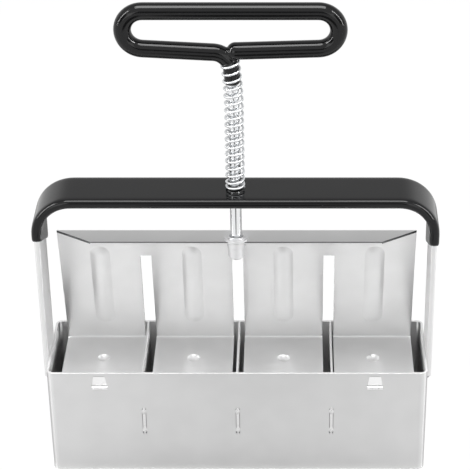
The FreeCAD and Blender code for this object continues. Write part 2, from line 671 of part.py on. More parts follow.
def make_ejector():
    """One folded sheet: a flange, a leaning web and four press plates with seed dimples."""
    body = new_body("ejector_sheet")
    path = new_sketch(body, "YZ_Plane")
    lean = sizes.web_lean
    draw_run(
        path,
        (
            (("top_fold_y", "top_fold_z"), "fold_radius", 90, lean),
            (("fold_y", "fold_z"), "fold_radius", lean, -90),
        ),
        start=("-flange_front", "flange_line"),
        end=("-plate_front", "plate_line"),
    )
    section = new_sketch(body, "XZ_Plane")
    bind(section, AttachmentOffset__Base__z="flange_front", AttachmentOffset__Base__y="flange_line")
    draw_rectangle(section, "-plates_end", "plates_end", "-sheet_half", "sheet_half")
    pipe(body, section, path, 1, 5)
    slots = new_sketch(body, "XZ_Plane")
    for left, right in (("-slot_out", "-slot_in"), ("-slot_half", "slot_half"), ("slot_in", "slot_out")):
        draw_rectangle(slots, left, right, None, "slot_top")
    pocket(body, slots, both_ways=True)
    corners = raised_sketch(body, "slot_top")
    for sign in ("", "-"):
        draw_polygon(corners, (
            (sign + "cut_x", "-cut_past_y"),
            (sign + "cut_x", "-flange_front"),
            (sign + "plates_end", "cut_y"),
            (sign + "cut_past_x", "cut_y"),
            (sign + "cut_past_x", "-cut_past_y"),
        ))
    pocket(body, corners, along=True)
    hole = raised_sketch(body, "slot_top")
    draw_circle(hole, "nut_hole")
    pocket(body, hole, along=True)
    return press_sheet(body)


def press_sheet(sheet):
    """Presses the ribs forward out of the web and the seed dimples down into the plates."""
    rib_side = half_space("rib_side", "web_foot_y", "web_foot_z", "90 + Sizes.web_lean")
    dimple_side = half_space("dimple_side", "plate_front", "plate_line", "180")
    bosses = combine("MultiFuse", "rib_bosses", Shapes=rib_bars("rib_radius"))
    ribs = combine("Common", "ribs", Base=bosses, Tool=rib_side)
    bowls = combine("MultiFuse", "dimple_bowls", Shapes=dimple_balls("dimple_shell"))
    dimples = combine("Common", "dimples", Base=bowls, Tool=dimple_side)
    raised = combine("MultiFuse", "raised_sheet", Shapes=[sheet, ribs, dimples])
    tools = rib_bars("rib_hollow") + dimple_balls("dimple_hollow")
    hollows = combine("MultiFuse", "hollows", Shapes=tools)
    return combine("Cut", "ejector", Base=raised, Tool=hollows)


def finger_middles():
    """Formulas for the middles of the press plates along the row."""
    return [f"{2 * finger - CELLS + 1} / 2 * Places.plate_pitch" for finger in range(CELLS)]


def place(kind, middle, back, up, turn, **names):
    """A Part primitive set at a place and turned about the row's direction."""
    thing = doc.addObject("Part::" + kind, kind.lower())
    thing.Placement = FreeCAD.Placement(FreeCAD.Vector(), FreeCAD.Rotation(X_AXIS, 90))
    thing.setExpression("Placement.Rotation.Angle", turn)
    thing.setExpression("Placement.Base.x", middle)
    bind(thing, Placement__Base__y=back, Placement__Base__z=up, **names)
    return thing


def rib_bars(radius):
    """Round-ended bars behind the web, one for each finger."""
    bars = []
    for middle in finger_middles():
        low = (middle, "rib_low_y", "rib_low_z", "Sizes.web_lean")
        top = (middle, "rib_top_y", "rib_top_z", "Sizes.web_lean")
        bars.append(place("Cylinder", *low, Radius=radius, Height="rib_run"))
        bars += [place("Sphere", *end, Radius=radius) for end in (low, top)]
    return bars


def dimple_balls(radius):
    return [
        place("Sphere", middle, "dimple_back", "dimple_z", "90", Radius=radius)
        for middle in finger_middles()
    ]


def half_space(name, across, up, turn):
    """A block as long as the mould that fills one side of a plane along the row."""
    block = place("Box", "-Places.outside_x", across, up, turn, Width="flange_top", Height="flange_top")
    block.setExpression("Length", "2 * Places.outside_x")
    block.Label = name
    return block


def make_return_spring():
    """Round wire, right-handed, with a closed ring at each end and a slight flare to the bar."""
    helix = doc.addObject("Part::Helix", "spring_line")
    bind(helix, Pitch="spring_pitch", Height="spring_rise")
    bind(helix, Radius="spring_low_radius", Angle="spring_taper")
    wire = doc.addObject("Part::Circle", "spring_wire")
    wire.Placement = FreeCAD.Placement(FreeCAD.Vector(), FreeCAD.Rotation(X_AXIS, 90))
    bind(wire, Radius="wire_radius", Placement__Base__x="spring_low_radius")
    coils = doc.addObject("Part::Sweep", "spring_coils")
    coils.Sections = [wire]
    coils.Spine = (helix, ["Edge1"])
    coils.Solid = True
    coils.Frenet = True
    bind(coils, Placement__Base__z="spring_low")
    rings = [
        closed_ring("spring_low_radius", "spring_low"),
        closed_ring("spring_top_radius", "spring_high"),
    ]
    return combine("MultiFuse", "return_spring", Shapes=[coils] + rings)


def closed_ring(radius, height):
    """The closed turn at one end of the spring, its seam a quarter turn from the wire's end."""
    ring = doc.addObject("Part::Torus", "closed_ring")
    ring.Placement = FreeCAD.Placement(FreeCAD.Vector(), FreeCAD.Rotation(Z_AXIS, 90))
    bind(ring, Radius1=radius, Radius2="wire_radius", Placement__Base__z=height)
    return ring


def write_pieces(pieces):
    """Checks every object and piece, then writes one STEP file for each piece."""
    doc.recompute()
    for thing in doc.Objects:
        if {"Invalid", "Error"} & set(thing.State):
            raise RuntimeError(f"{thing.Label} failed: {thing.State}")
    for piece in pieces:
        if piece.Shape.isNull() or not piece.Shape.isValid() or len(piece.Shape.Solids) != 1:
            raise RuntimeError(f"{piece.Label} is not one valid solid")
    os.makedirs("parts", exist_ok=True)
    for piece in pieces:
        piece.Shape.exportStep(f"parts/{piece.Label}.step")


bail_strip = make_bail_strip()
plunger_rod = make_plunger_rod()
write_pieces([
    make_mould_wall(),
    make_divider("divider_left", -1),
    make_divider("divider_middle", 0),
    make_divider("divider_right", 1),
    bail_strip,
    make_bail_coat(bail_strip),
    make_weld("weld_left", 180),
    make_weld("weld_right", 0),
    plunger_rod,
    make_handle_coat(plunger_rod),
    make_rivet_nut(),
    make_ejector(),
    make_return_spring(),
])
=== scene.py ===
import math

import bmesh
import bpy
from bpy.props import FloatProperty, FloatVectorProperty, IntProperty, PointerProperty
from mathutils import Matrix, Vector


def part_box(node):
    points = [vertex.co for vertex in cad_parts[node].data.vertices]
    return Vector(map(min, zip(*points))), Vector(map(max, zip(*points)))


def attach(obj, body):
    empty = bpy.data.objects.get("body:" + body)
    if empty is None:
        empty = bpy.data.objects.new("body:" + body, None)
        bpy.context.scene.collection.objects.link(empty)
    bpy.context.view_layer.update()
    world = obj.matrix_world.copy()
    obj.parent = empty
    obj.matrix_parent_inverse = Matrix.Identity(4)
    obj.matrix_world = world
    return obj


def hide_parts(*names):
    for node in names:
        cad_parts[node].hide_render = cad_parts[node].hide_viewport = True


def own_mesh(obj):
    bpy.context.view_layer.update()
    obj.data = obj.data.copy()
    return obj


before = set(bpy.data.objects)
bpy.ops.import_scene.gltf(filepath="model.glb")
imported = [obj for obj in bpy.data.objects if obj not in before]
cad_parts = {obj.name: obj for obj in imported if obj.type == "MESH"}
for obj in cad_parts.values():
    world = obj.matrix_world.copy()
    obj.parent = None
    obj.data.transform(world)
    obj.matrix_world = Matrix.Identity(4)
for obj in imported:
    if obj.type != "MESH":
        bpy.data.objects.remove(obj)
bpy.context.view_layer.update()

bl_info = {
    "name": "Soil Blocker",
    "version": (1, 0, 0),
    "blender": (4, 5, 0),
    "location": "3D View > Sidebar > Soil Blocker",
    "description": "Finishes a sprung soil blocker: zinc-plated sheet, chromed rod and dipped PVC",
    "category": "Object",
}

MM = 0.001
SHELF = "Soil Blocker"
FRAME_BODY = "mould_frame"
PLUNGER_BODY = "plunger"

# Roughness of each finish, from its smoothest to its dullest spots: 0 is a mirror, 1 is matt.
# Rolled or pressed sheet is satin. Hammered, drawn and turned pieces are glossier, and chrome
# is nearly a mirror.
ROUGHNESS = {
    "zinc_plated_sheet": (0.368, 0.392),
    "zinc_plated_ejector": (0.348, 0.372),
    "zinc_plated_strip": (0.328, 0.352),
    "burnished_zinc": (0.2625, 0.455),
    "peened_zinc": (0.15, 0.26),
    "plated_nut": (0.105, 0.182),
    "chromed_rod": (0.0525, 0.091),
    "spring_wire": (0.135, 0.234),
    "dipped_pvc": (0.08, 0.14),
}

# Rolling lines and drawing marks are this many times as long as they are wide.
ROLLED_OUT = 50
DRAWN_OUT = 20

# Nearly all values of a noise texture lie between these two, and a wave texture turns through
# this many radians in one unit.
NOISE_LOW = 0.3
NOISE_HIGH = 0.7
WAVE_RADIANS = 20

# A face is upright where its normal rises less than this, and looks along the row of cells
# where its normal turns that way by more than this.
UPRIGHT_RISE = 0.06
ALONG_ROW = 0.5

# Edges that turn by more than this stay sharp.
CREASE = math.radians(35)

# A stop's punched parts, in millimetres: inward from the wall's face, and up from the ledge.
SILL_PROFILE = (
    (0.0, -1.9), (-0.2, -1.72), (-0.34, -1.45), (-0.32, -1.2), (-0.05, -0.62), (0.2, -0.25),
    (0.6, -0.06), (1.9, 0.0), (2.5, 0.0), (2.5, -0.55), (1.0, -0.55), (1.0, -1.9),
)
SCOOP_PROFILE = ((0.02, 6.5), (0.6, 0.9), (0.75, 0.45), (1.1, 0.16), (2.6, 0.16))

# A tab's bead has this many faces on each half of its crown. Its back and its thin rim lie this
# far inside the wall.
CROWN_FACES = 8
BEAD_ROOT = 1.0 * MM
RIM_SUNK = 0.01 * MM

# A bead's ends are blunter with a higher power, and keep this share of their width at the tip.
END_POWER = 5
END_WIDTH = 0.02

# Points along each slow bend of the rod, and round each end of its loop.
BEND_STEPS = 16
LOOP_STEPS = 24

# The handle's three skins overlap where the stem bends into the left limb. Counted in points of
# the loop's line, the loop's skin starts there, and the stem's slim skin and the shoulder's
# thick one end.
LOOP_SKIN_FROM = 5
STEM_SKIN_TO = 6
SHOULDER_SKIN_TO = 9

# Soft ovals of shade on the floor, in metres: the middle, then half the width and half the depth.
# Each is full out to the inner share of that size and gone at the outer one.
TOOL_SHADE = ((0.0, 0.18), (0.3, 0.23))
STAND_SHADE = ((0.0, -0.37), (0.085, 0.165))
SHADE_INNER = 0.75
SHADE_OUTER = 1.1

# Each lamp's name, place, width and height in metres, and power in watts. All face one point.
LAMPS = (
    ("top_softbox", (0.0, -0.2, 2.1), (1.5, 0.85), 31.0),
    ("right_softbox", (0.7, -1.35, 0.5), (0.7, 0.8), 2.7),
    ("left_softbox", (-0.7, -1.35, 0.5), (0.7, 0.8), 3.4),
    ("right_strip", (0.96, -0.36, 0.6), (0.1, 1.0), 9.0),
    ("left_strip", (-0.96, -0.36, 0.6), (0.1, 1.0), 9.0),
)
LAMP_AIM = Vector((0.0, 0.0, 0.12))


def linear_colour(code):
    """A hex sRGB colour such as "#c8c9ca" as linear red, green, blue and alpha."""
    shares = [int(code[place:place + 2], 16) / 255 for place in (1, 3, 5)]
    return tuple(
        share / 12.92 if share <= 0.04045 else ((share + 0.055) / 1.055) ** 2.4
        for share in shares
    ) + (1.0,)


def size_property(name, millimetres, description):
    """A length, given in millimetres and kept in metres."""
    return FloatProperty(
        name=name, description=description, default=millimetres * MM,
        min=0.0, precision=5, unit="LENGTH",
    )


def colour_property(name, code, description):
    """A colour, given as a hex sRGB code."""
    return FloatVectorProperty(
        name=name, description=description, default=linear_colour(code),
        size=4, min=0.0, max=1.0, subtype="COLOR",
    )


def angle_property(name, degrees, description):
    """An angle, given in degrees and kept in radians."""
    return FloatProperty(
        name=name, description=description, default=math.radians(degrees), subtype="ANGLE",
    )


def share_property(name, share, description):
    """A share, from 0 to 1."""
    return FloatProperty(
        name=name, description=description, default=share,
        min=0.0, max=1.0, subtype="FACTOR",
    )


def level_property(name, level, description):
    """A plain number from 0 up, such as a brightness or a number of turns."""
    return FloatProperty(name=name, description=description, default=level, min=0.0)


def count_property(name, count, description):
    """A whole number of steps or passes."""
    return IntProperty(name=name, description=description, default=count, min=1)


class MetalSettings(bpy.types.PropertyGroup):
    """Colours and grain of the metal pieces."""

    sheet: colour_property("Mould sheet", "#dcdcdc", "Zinc plate on the mould and its dividers")
    # Painted light: the ejector gets a lighter copy of the mould's zinc, standing in for the light
    # on its webs and plates.
    folded: colour_property("Ejector sheet", "#e4e4e4", "Brighter zinc plate on the folded ejector")
    # The beads are glossier from peening; their zinc is also painted lighter than the wall's, as
    # highlight.
    peened: colour_property("Peened beads", "#e4e4e4", "Zinc plate on the hammered tabs")
    strip: colour_property("Plated strip", "#e8e8e8", "Zinc plate on the bail's strip")
    rod: colour_property("Rod", "#eeeff0", "Chromed plunger rod")
    nut: colour_property("Rivet nut", "#e2e3e4", "Zinc plate on the rivet nut")
    wire: colour_property("Spring wire", "#f4f4f5", "Drawn spring wire")
    # Painted highlight: the stops get a near-white zinc, lighter than the sheet, so their sills and
    # scoops shine.
    stop_highlight: colour_property("Burnished", "#fafafa", "Zinc plate that the punch has burnished")
    # The sheared edges' dark grey is bare steel, and also painted shade along those edges.
    torn_and_shade: colour_property("Sheared edge", "#6d6e6f", "Bare steel where the sheet was sheared")
    # Only this top strip of the flange's rim gets the dark colour; below it the rim keeps the
    # plating's.
    dark_rim_depth: size_property("Torn depth", 0.6, "Height of the torn part of the flange's rim")
    weld: colour_property("Weld", "#a9aaab", "Weld beads under the bail's feet")
    # A bead's ripples are about 1 mm apart, too fine to show, so they are drawn coarser.
    ripple: size_property("Weld ripples", 3.16, "Spacing of the ripples across a weld bead")
    # Rolling lines and drawing marks are finer than 0.1 mm, so they are drawn coarser too.
    grain: size_property("Grain", 0.5, "Spacing of the rolling lines and the drawing marks")
    cloud: size_property("Clouding", 14.0, "Width of the soft patches in the plating")
    cloudy: share_property("Cloudiness", 0.03, "How much lighter or darker a soft patch is")
    edge: size_property("Worn edge", 0.4, "Radius of the rounded look of sheared edges")


class PressSettings(bpy.types.PropertyGroup):
    """The stops pressed into the mould and the staked tabs of its dividers."""

    face: size_property("Wall face", 26.2, "Middle of the tool to the outside of its long walls")
    ledge: size_property("Ledge", 55.5, "Height of the stops' ledges")
    stop_wide: size_property("Stop width", 8.3, "Width of a stop at its ledge")
    stop_narrow: size_property("Stop top", 6.0, "Width of a stop at its top")
    stop_tall: size_property("Stop height", 6.9, "Height of a stop")
    stop_aside: size_property("Stop aside", 74.4, "Middle of the tool to a stop")
    tab_middle: size_property("Tab middle", 32.9, "Height of the middle of a tab's bead")
    tab_height: size_property("Tab height", 17.8, "Height of a tab's bead")
    bar_wide: size_property("Bar width", 1.9, "Width of a tab between its peened ends")
    bar_proud: size_property("Bar proud", 0.36, "How far a tab stands out of the wall")
    lump_wide: size_property("Lump width", 2.9, "Width of a tab's peened end")
    lump_proud: size_property("Lump proud", 0.85, "How far a peened end stands out")
    lump_place: share_property("Lump place", 0.72, "Where a peened end is, from middle to end")
    lump_spread: share_property("Lump spread", 0.13, "How far a peened end reaches along its tab")
    neck_place: share_property("Neck place", 0.46, "Where the bar is thinnest, from middle to end")
    neck_spread: share_property("Neck spread", 0.08, "How far the thin place reaches")
    neck_depth: share_property("Neck depth", 0.4, "Share of the bar that is lost there")
    stake_steps: count_property("Steps", 40, "Rings along a tab's bead")


class CoatSettings(bpy.types.PropertyGroup):
    """Colour and dipping of the PVC."""

    pvc: colour_property("PVC", "#050506", "Dipped PVC on the bail and the handle")
    ripple: size_property("Ripple", 12.0, "Width of the slow ripples left by dipping")
    # The skin's real unevenness is finer than 0.1 mm, so it is drawn coarser to show.
    pore: size_property("Pores", 0.6, "Spacing of the fine unevenness in the gloss")
    bail_voxel: size_property("Bail voxel", 0.5, "Grid of the bail's skin")
    rims: count_property("Rims", 50, "Smoothing passes that round the rims of the bail's skin")
    swell: size_property("Swell", 0.27, "How far that skin swells back out once its rims are round")
    grip_voxel: size_property("Grip voxel", 0.3, "Grid that melts the handle's limbs together")
    even: count_property("Evening", 3, "Smoothing passes over the whole skin of the handle")
    melting: count_property("Melting", 8, "Further smoothing passes over the handle's joint")
    melted: size_property("Melted reach", 8.0, "How far the dipping rounds the handle's joint")


class HandleSettings(bpy.types.PropertyGroup):
    """The bent rod and its grip."""

    rod: size_property("Rod radius", 3.0, "Radius of the bare rod")
    stem: size_property("Stem radius", 4.05, "Radius of the coated stem inside the spring")
    stem_coat: size_property("Stem coat", 12.3, "Length of the coat on the stem under the shoulder")
    grip: size_property("Grip radius", 4.5, "Radius of the coated loop")
    bend: size_property("Loop bend", 10.15, "Bend radius of the loop's ends, middle of the rod")
    tip: size_property("Right tip", 1.2, "Stem's axis to the middle of the right limb's end")
    lean_from: size_property("Lean from", 210.0, "Height where the stem starts to lean")
    lean_radius: size_property("Lean radius", 211.0, "Radius of the slow bend of the stem")
    lean: angle_property("Lean", 6.4, "Slope of the stem where it turns into the left limb")
    cut: angle_property("Shoulder", 6.5, "Slope of the shoulder over the spring")
    pressed: size_property("Pressed in", 0.9, "How far the spring's end goes into the shoulder")
    left: angle_property("Left limb", 3.2, "Rise of the left lower limb, outward")
    right: angle_property("Right limb", 1.8, "Rise of the right lower limb, outward")


class SpringSettings(bpy.types.PropertyGroup):
    """The return spring's coil."""

    wire: size_property("Wire", 1.25, "Diameter of the wire")
    low: size_property("Lower radius", 4.55, "Coil radius on the bar, at the wire's middle")
    top: size_property("Upper radius", 4.5, "Coil radius under the shoulder, at the wire's middle")
    closed: level_property("Closed turns", 1.3, "Turns lying close on the bar")
    lie: size_property("Closed pitch", 2.2, "Rise of a closed turn")
    turns: level_property("Turns", 16.7, "Working turns")
    steps: count_property("Steps", 40, "Points along one turn")
    kept: share_property("Pressed length", 0.34, "Share of the length left at full stroke")


class StageSettings(bpy.types.PropertyGroup):
    """Floor, light and camera."""

    floor: colour_property("Floor", "#f4f4f3", "Matt paper under the tool")
    floor_width: size_property("Floor width", 9000.0, "Side of the square floor")
    gap: size_property("Floor gap", 0.3, "How far the floor lies under the tool")
    # Paper fibres are far thinner than 1 mm, so their clumps are drawn coarser.
    fibre: size_property("Fibres", 1.5, "Spacing of the clumped fibres of the paper")
    glow: share_property("Floor glow", 0.95, "Share of the visible floor's light that is its own")
    mirrored: level_property("Mirrored floor", 0.97, "Brightness of the floor in a reflection")
    shade_behind: share_property("Shade behind", 0.36, "Share of it left in the tool's shade")
    shade_ahead: share_property("Shade ahead", 0.18, "Share of it left in the camera stand's shade")
    shade_edge: size_property("Shade edge", 4.0, "How far the mould's own shade fades, either way")
    surround: colour_property("Surround", "#ffffff", "White surround of the light tent")
    even: level_property("Even light", 0.38, "Soft light from all sides")
    front_low: level_property("Front, low", 0.2, "Brightness of the tent's lower front")
    front_high: level_property("Front, high", 1.0, "Brightness of the tent's upper front")
    back_low: level_property("Back, low", 1.0, "Brightness of the tent's lower back")
    roof_back: level_property("Roof behind", 0.65, "Brightness of the tent's roof on the far side")
    roof_from: angle_property("Roof from", 14, "Height over the horizon where the roof starts")
    roof_to: angle_property("Roof to", 30, "Height over the horizon where the roof is full")
    turn: share_property("Front to back", 0.3, "How softly the tent's front turns into its back")
    lens: level_property("Lens", 141.9, "Focal length on a 36 mm sensor, in millimetres")
    shift: FloatProperty(name="Shift", description="Sideways shift of the lens", default=-0.125)
    pitch: angle_property("Pitch", 30.55, "How far the camera looks down")
    stand: FloatVectorProperty(
        name="Stand", description="Place of the camera",
        default=(0.0305, -0.846, 0.6345), subtype="TRANSLATION", unit="LENGTH",
    )


class SoilBlockerSettings(bpy.types.PropertyGroup):
    """Everything that can be set on the soil blocker."""

    metal: PointerProperty(type=MetalSettings)
    press: PointerProperty(type=PressSettings)
    coat: PointerProperty(type=CoatSettings)
    handle: PointerProperty(type=HandleSettings)
    spring: PointerProperty(type=SpringSettings)
    stage: PointerProperty(type=StageSettings)


def add_node(tree, kind, inputs=None, **settings):
    """Adds a node. An input takes a value, or another node's output, which is linked."""
    node = tree.nodes.new(kind)
    for name, value in settings.items():
        setattr(node, name, value)
    for name, value in (inputs or {}).items():
        if isinstance(value, bpy.types.NodeSocket):
            tree.links.new(value, node.inputs[name])
        else:
            node.inputs[name].default_value = value
    return node


def new_material(name):
    """An empty material, its node tree and its output node."""
    material = bpy.data.materials.new(name)
    material.use_nodes = True
    tree = material.node_tree
    tree.nodes.clear()
    return material, tree, add_node(tree, "ShaderNodeOutputMaterial")


def kept_material(name, make, *values):
    """The material of that name, made the first time it is asked for."""
    return bpy.data.materials.get(name) or make(name, *values)


def per_metre(size):
    """How many times a size goes into a metre: a noise's scale, for bumps that far apart."""
    return 1.0 / max(size, 1e-6)


def uneven_gloss(tree, name, spacing, detail):
    """A finish's roughness, which wanders between its two values at a spacing in x, y and z."""
    low, high = ROUGHNESS[name]
    place = add_node(tree, "ShaderNodeTexCoord").outputs["Object"]
    scale = tuple(per_metre(size) for size in spacing)
    stretched = add_node(tree, "ShaderNodeMapping", {"Vector": place, "Scale": scale})
    noise = add_node(
        tree, "ShaderNodeTexNoise",
        {"Vector": stretched.outputs["Vector"], "Scale": 1.0, "Detail": detail},
    )
    gloss = add_node(
        tree, "ShaderNodeMapRange",
        {"Value": noise.outputs["Fac"], "From Min": NOISE_LOW, "From Max": NOISE_HIGH,
         "To Min": low, "To Max": high},
    )
    return gloss.outputs["Result"]


def zinc_plated_sheet(name, colour, metal, dark_edges_from=None):
    """Cold-rolled steel sheet, electroplated with bright zinc.

    The plating gives an even silvery gloss with very faint clouds, the rolling draws the
    gloss out across its lines, and rounded rims catch a thin bright line. Above a height,
    the upright faces are edges sheared after plating: grey, torn steel, whose dark colour
    is also painted shade along those edges.
    """
    material, tree, output = new_material(name)
    place = add_node(tree, "ShaderNodeTexCoord").outputs["Object"]
    clouds = add_node(
        tree, "ShaderNodeTexNoise",
        {"Vector": place, "Scale": per_metre(metal.cloud), "Detail": 1.0},
    )
    tint = add_node(
        tree, "ShaderNodeMapRange",
        {"Value": clouds.outputs["Fac"],
         "To Min": 1 - metal.cloudy, "To Max": 1 + metal.cloudy},
        interpolation_type="SMOOTHSTEP",
    )
    clouded = add_node(
        tree, "ShaderNodeVectorMath",
        {0: colour[:3], "Scale": tint.outputs["Result"]}, operation="SCALE",
    )
    plated = clouded.outputs["Vector"]
    # Painted shade, with bare steel: upright edges above this height get the dark sheared colour.
    if dark_edges_from is not None:
        plated = sheared_and_shaded_colour(tree, place, plated, dark_edges_from, metal)
    grain = metal.grain
    worn = add_node(tree, "ShaderNodeBevel", {"Radius": metal.edge}, samples=8)
    # The rolling runs along the row, a little off it, so that no face lies square to it.
    rolled = add_node(tree, "ShaderNodeCombineXYZ", {"X": 1.0, "Y": 0.02, "Z": 0.06})
    sheet = add_node(
        tree, "ShaderNodeBsdfPrincipled",
        {"Base Color": plated, "Metallic": 1.0,
         "Roughness": uneven_gloss(tree, name, (grain * ROLLED_OUT, grain, grain), 1.0),
         "Normal": worn.outputs["Normal"], "Tangent": rolled.outputs["Vector"],
         "Anisotropic": 0.8, "Anisotropic Rotation": 0.25},
    )
    tree.links.new(sheet.outputs["BSDF"], output.inputs["Surface"])
    return material


def sheared_and_shaded_colour(tree, place, plated, height, metal):
    """The plating's colour, and a dark colour on the ejector's sheared edges: bare steel, and
    painted shade along those edges.

    Those are the upright faces above a height that look along the row, and the upper part
    of the flange's rim; its lower part keeps the plating's colour.
    """
    facing = add_node(tree, "ShaderNodeTexCoord").outputs["Normal"]
    turned = add_node(tree, "ShaderNodeVectorMath", {0: facing}, operation="ABSOLUTE")
    turned = add_node(tree, "ShaderNodeSeparateXYZ", {"Vector": turned.outputs["Vector"]}).outputs
    spot = add_node(tree, "ShaderNodeSeparateXYZ", {"Vector": place}).outputs
    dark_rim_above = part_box("ejector")[1].z - metal.dark_rim_depth
    upright, above, along, on_rim = (
        add_node(tree, "ShaderNodeMath", {0: value, 1: limit}, operation=test).outputs["Value"]
        for value, limit, test in (
            (turned["Z"], UPRIGHT_RISE, "LESS_THAN"),
            (spot["Z"], height, "GREATER_THAN"),
            (turned["X"], ALONG_ROW, "GREATER_THAN"),
            (spot["Z"], dark_rim_above, "GREATER_THAN"),
        )
    )
    either = add_node(tree, "ShaderNodeMath", {0: along, 1: on_rim}, operation="MAXIMUM")
    both = add_node(tree, "ShaderNodeMath", {0: upright, 1: above}, operation="MULTIPLY")
    edge = add_node(
        tree, "ShaderNodeMath",
        {0: either.outputs["Value"], 1: both.outputs["Value"]}, operation="MULTIPLY",
    )
    # Dark on the sheared edges: bare steel and painted shade.
    mixed = add_node(
        tree, "ShaderNodeMix",
        {0: edge.outputs["Value"], 6: plated, 7: metal.torn_and_shade}, data_type="RGBA",
    )
    return mixed.outputs[2]


def bright_metal(name, colour, metal):
    """Drawn, turned or hammered steel with bright plating: glossy, with fine drawing marks."""
    material, tree, output = new_material(name)
    grain = metal.grain
    bright = add_node(
        tree, "ShaderNodeBsdfPrincipled",
        {"Base Color": colour, "Metallic": 1.0,
         "Roughness": uneven_gloss(tree, name, (grain, grain, grain * DRAWN_OUT), 2.0)},
    )
    tree.links.new(bright.outputs["BSDF"], output.inputs["Surface"])
    return material


def weld_metal(name, colour, metal):
    """Plated weld bead: small ripples across the bead and a dull gloss."""
    material, tree, output = new_material(name)
    place = add_node(tree, "ShaderNodeTexCoord").outputs["Object"]
    ripples = add_node(
        tree, "ShaderNodeTexWave",
        {"Vector": place, "Scale": per_metre(metal.ripple) * math.tau / WAVE_RADIANS,
         "Distortion": 2.5, "Detail": 2.0},
        bands_direction="Y",
    )
    bump = add_node(
        tree, "ShaderNodeBump",
        {"Height": ripples.outputs["Fac"], "Strength": 0.6, "Distance": 0.2 * MM},
    )
    weld = add_node(
        tree, "ShaderNodeBsdfPrincipled",
        {"Base Color": colour, "Metallic": 1.0, "Roughness": 0.42,
         "Normal": bump.outputs["Normal"]},
    )
    tree.links.new(weld.outputs["BSDF"], output.inputs["Surface"])
    return material


def dipped_pvc(name, colour, coat):
    """Plastisol PVC, dipped hot: a thick black skin with slow ripples and a wet gloss."""
    material, tree, output = new_material(name)
    place = add_node(tree, "ShaderNodeTexCoord").outputs["Object"]
    ripples = add_node(
        tree, "ShaderNodeTexNoise",
        {"Vector": place, "Scale": per_metre(coat.ripple), "Detail": 0.0},
    )
    slow = add_node(
        tree, "ShaderNodeBump",
        {"Height": ripples.outputs["Fac"], "Strength": 0.3, "Distance": 0.12 * MM},
    )
    skin = add_node(
        tree, "ShaderNodeBsdfPrincipled",
        {"Base Color": colour, "IOR": 1.4, "Normal": slow.outputs["Normal"],
         "Roughness": uneven_gloss(tree, name, (coat.pore, coat.pore, coat.pore), 2.0)},
    )
    tree.links.new(skin.outputs["BSDF"], output.inputs["Surface"])
    return material


def finish_node(node, material):
    """Gives a CAD node its finish."""
    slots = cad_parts[node].data.materials
    slots.clear()
    slots.append(material)


def mesh_object(name, mesh, material, body):
    """Adds a finished mesh that moves with a body."""
    piece = bpy.data.objects.new(name, mesh)
    bpy.context.scene.collection.objects.link(piece)
    mesh.materials.clear()
    mesh.materials.append(material)
    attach(piece, body)
    return piece


def creased_mesh(name, work):
    """A mesh that looks smooth where it is rounded, and keeps its sharp edges."""
    mesh = bpy.data.meshes.new(name)
    work.to_mesh(mesh)
    work.free()
    mesh.shade_smooth()
    mesh.set_sharp_from_angle(angle=CREASE)
    return mesh


def outward_mesh(name, work):
    """A creased mesh of closed skins, all of whose faces look outward."""
    bmesh.ops.recalc_face_normals(work, faces=work.faces)
    return creased_mesh(name, work)


def melt(piece, voxel):
    """Makes one smooth skin of all that a piece holds, on a grid."""
    remesh = piece.modifiers.new("melt", "REMESH")
    remesh.mode = "VOXEL"
    remesh.voxel_size = voxel
    remesh.use_smooth_shade = True


def applied(piece):
    """The piece's mesh with its modifiers applied."""
    graph = bpy.context.evaluated_depsgraph_get()
    mesh = bpy.data.meshes.new_from_object(piece.evaluated_get(graph))
    piece.modifiers.clear()
    piece.data = mesh
    return mesh


class SOILBLOCKER_OT_sheet_metal(bpy.types.Operator):
    """Finish the mould and the ejector as zinc-plated sheet, with the mould's pressed stops"""

    bl_idname = "soilblocker.sheet_metal"
    bl_label = "Sheet Metal"

    def execute(self, context):
        settings = context.scene.soil_blocker
        metal = settings.metal
        sheet = kept_material("zinc_plated_sheet", zinc_plated_sheet, metal.sheet, metal)
        finish_node("mould_wall", sheet)
        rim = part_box("mould_wall")[1].z
        # The ejector's copy of the sheet is painted lighter, for the light on its webs and plates.
        folded = kept_material(
            "zinc_plated_ejector", zinc_plated_sheet, metal.folded, metal, rim,
        )
        finish_node("ejector", folded)
        # The stops' sills and scoops get the lighter zinc, a painted highlight.
        stop_highlight = kept_material("burnished_zinc", bright_metal, metal.stop_highlight, metal)
        stops = pressed_stops(settings.press)
        mesh_object("pressed_stops", stops, stop_highlight, FRAME_BODY)
        return {"FINISHED"}


def pressed_stops(press):
    """The scoop that the punch left in each stop, and the rolled sill under it."""
    work = bmesh.new()
    for side in (-1, 1):
        for profile in (SILL_PROFILE, SCOOP_PROFILE):
            add_pressing(work, press, side * press.stop_aside, profile)
    return outward_mesh("pressed_stops", work)


def add_pressing(work, press, middle, profile):
    """A profile drawn across a stop, whose width narrows upward."""
    narrowing = (press.stop_wide - press.stop_narrow) / press.stop_tall
    rings = []
    for end in (-1, 1):
        ring = []
        for inward, up in profile:
            half = (press.stop_wide - narrowing * max(up, 0) * MM) / 2
            ring.append(work.verts.new((
                middle + end * half, inward * MM - press.face, press.ledge + up * MM,
            )))
        rings.append(ring)
    skin_rings(work, rings)


def skin_rings(work, rings):
    """A closed skin over rings of points, with a face on each end."""
    for ring, after in zip(rings, rings[1:]):
        for turn in range(len(ring)):
            nearby = (turn + 1) % len(ring)
            work.faces.new((ring[turn], ring[nearby], after[nearby], after[turn]))
    work.faces.new(list(reversed(rings[0])))
    work.faces.new(rings[-1])


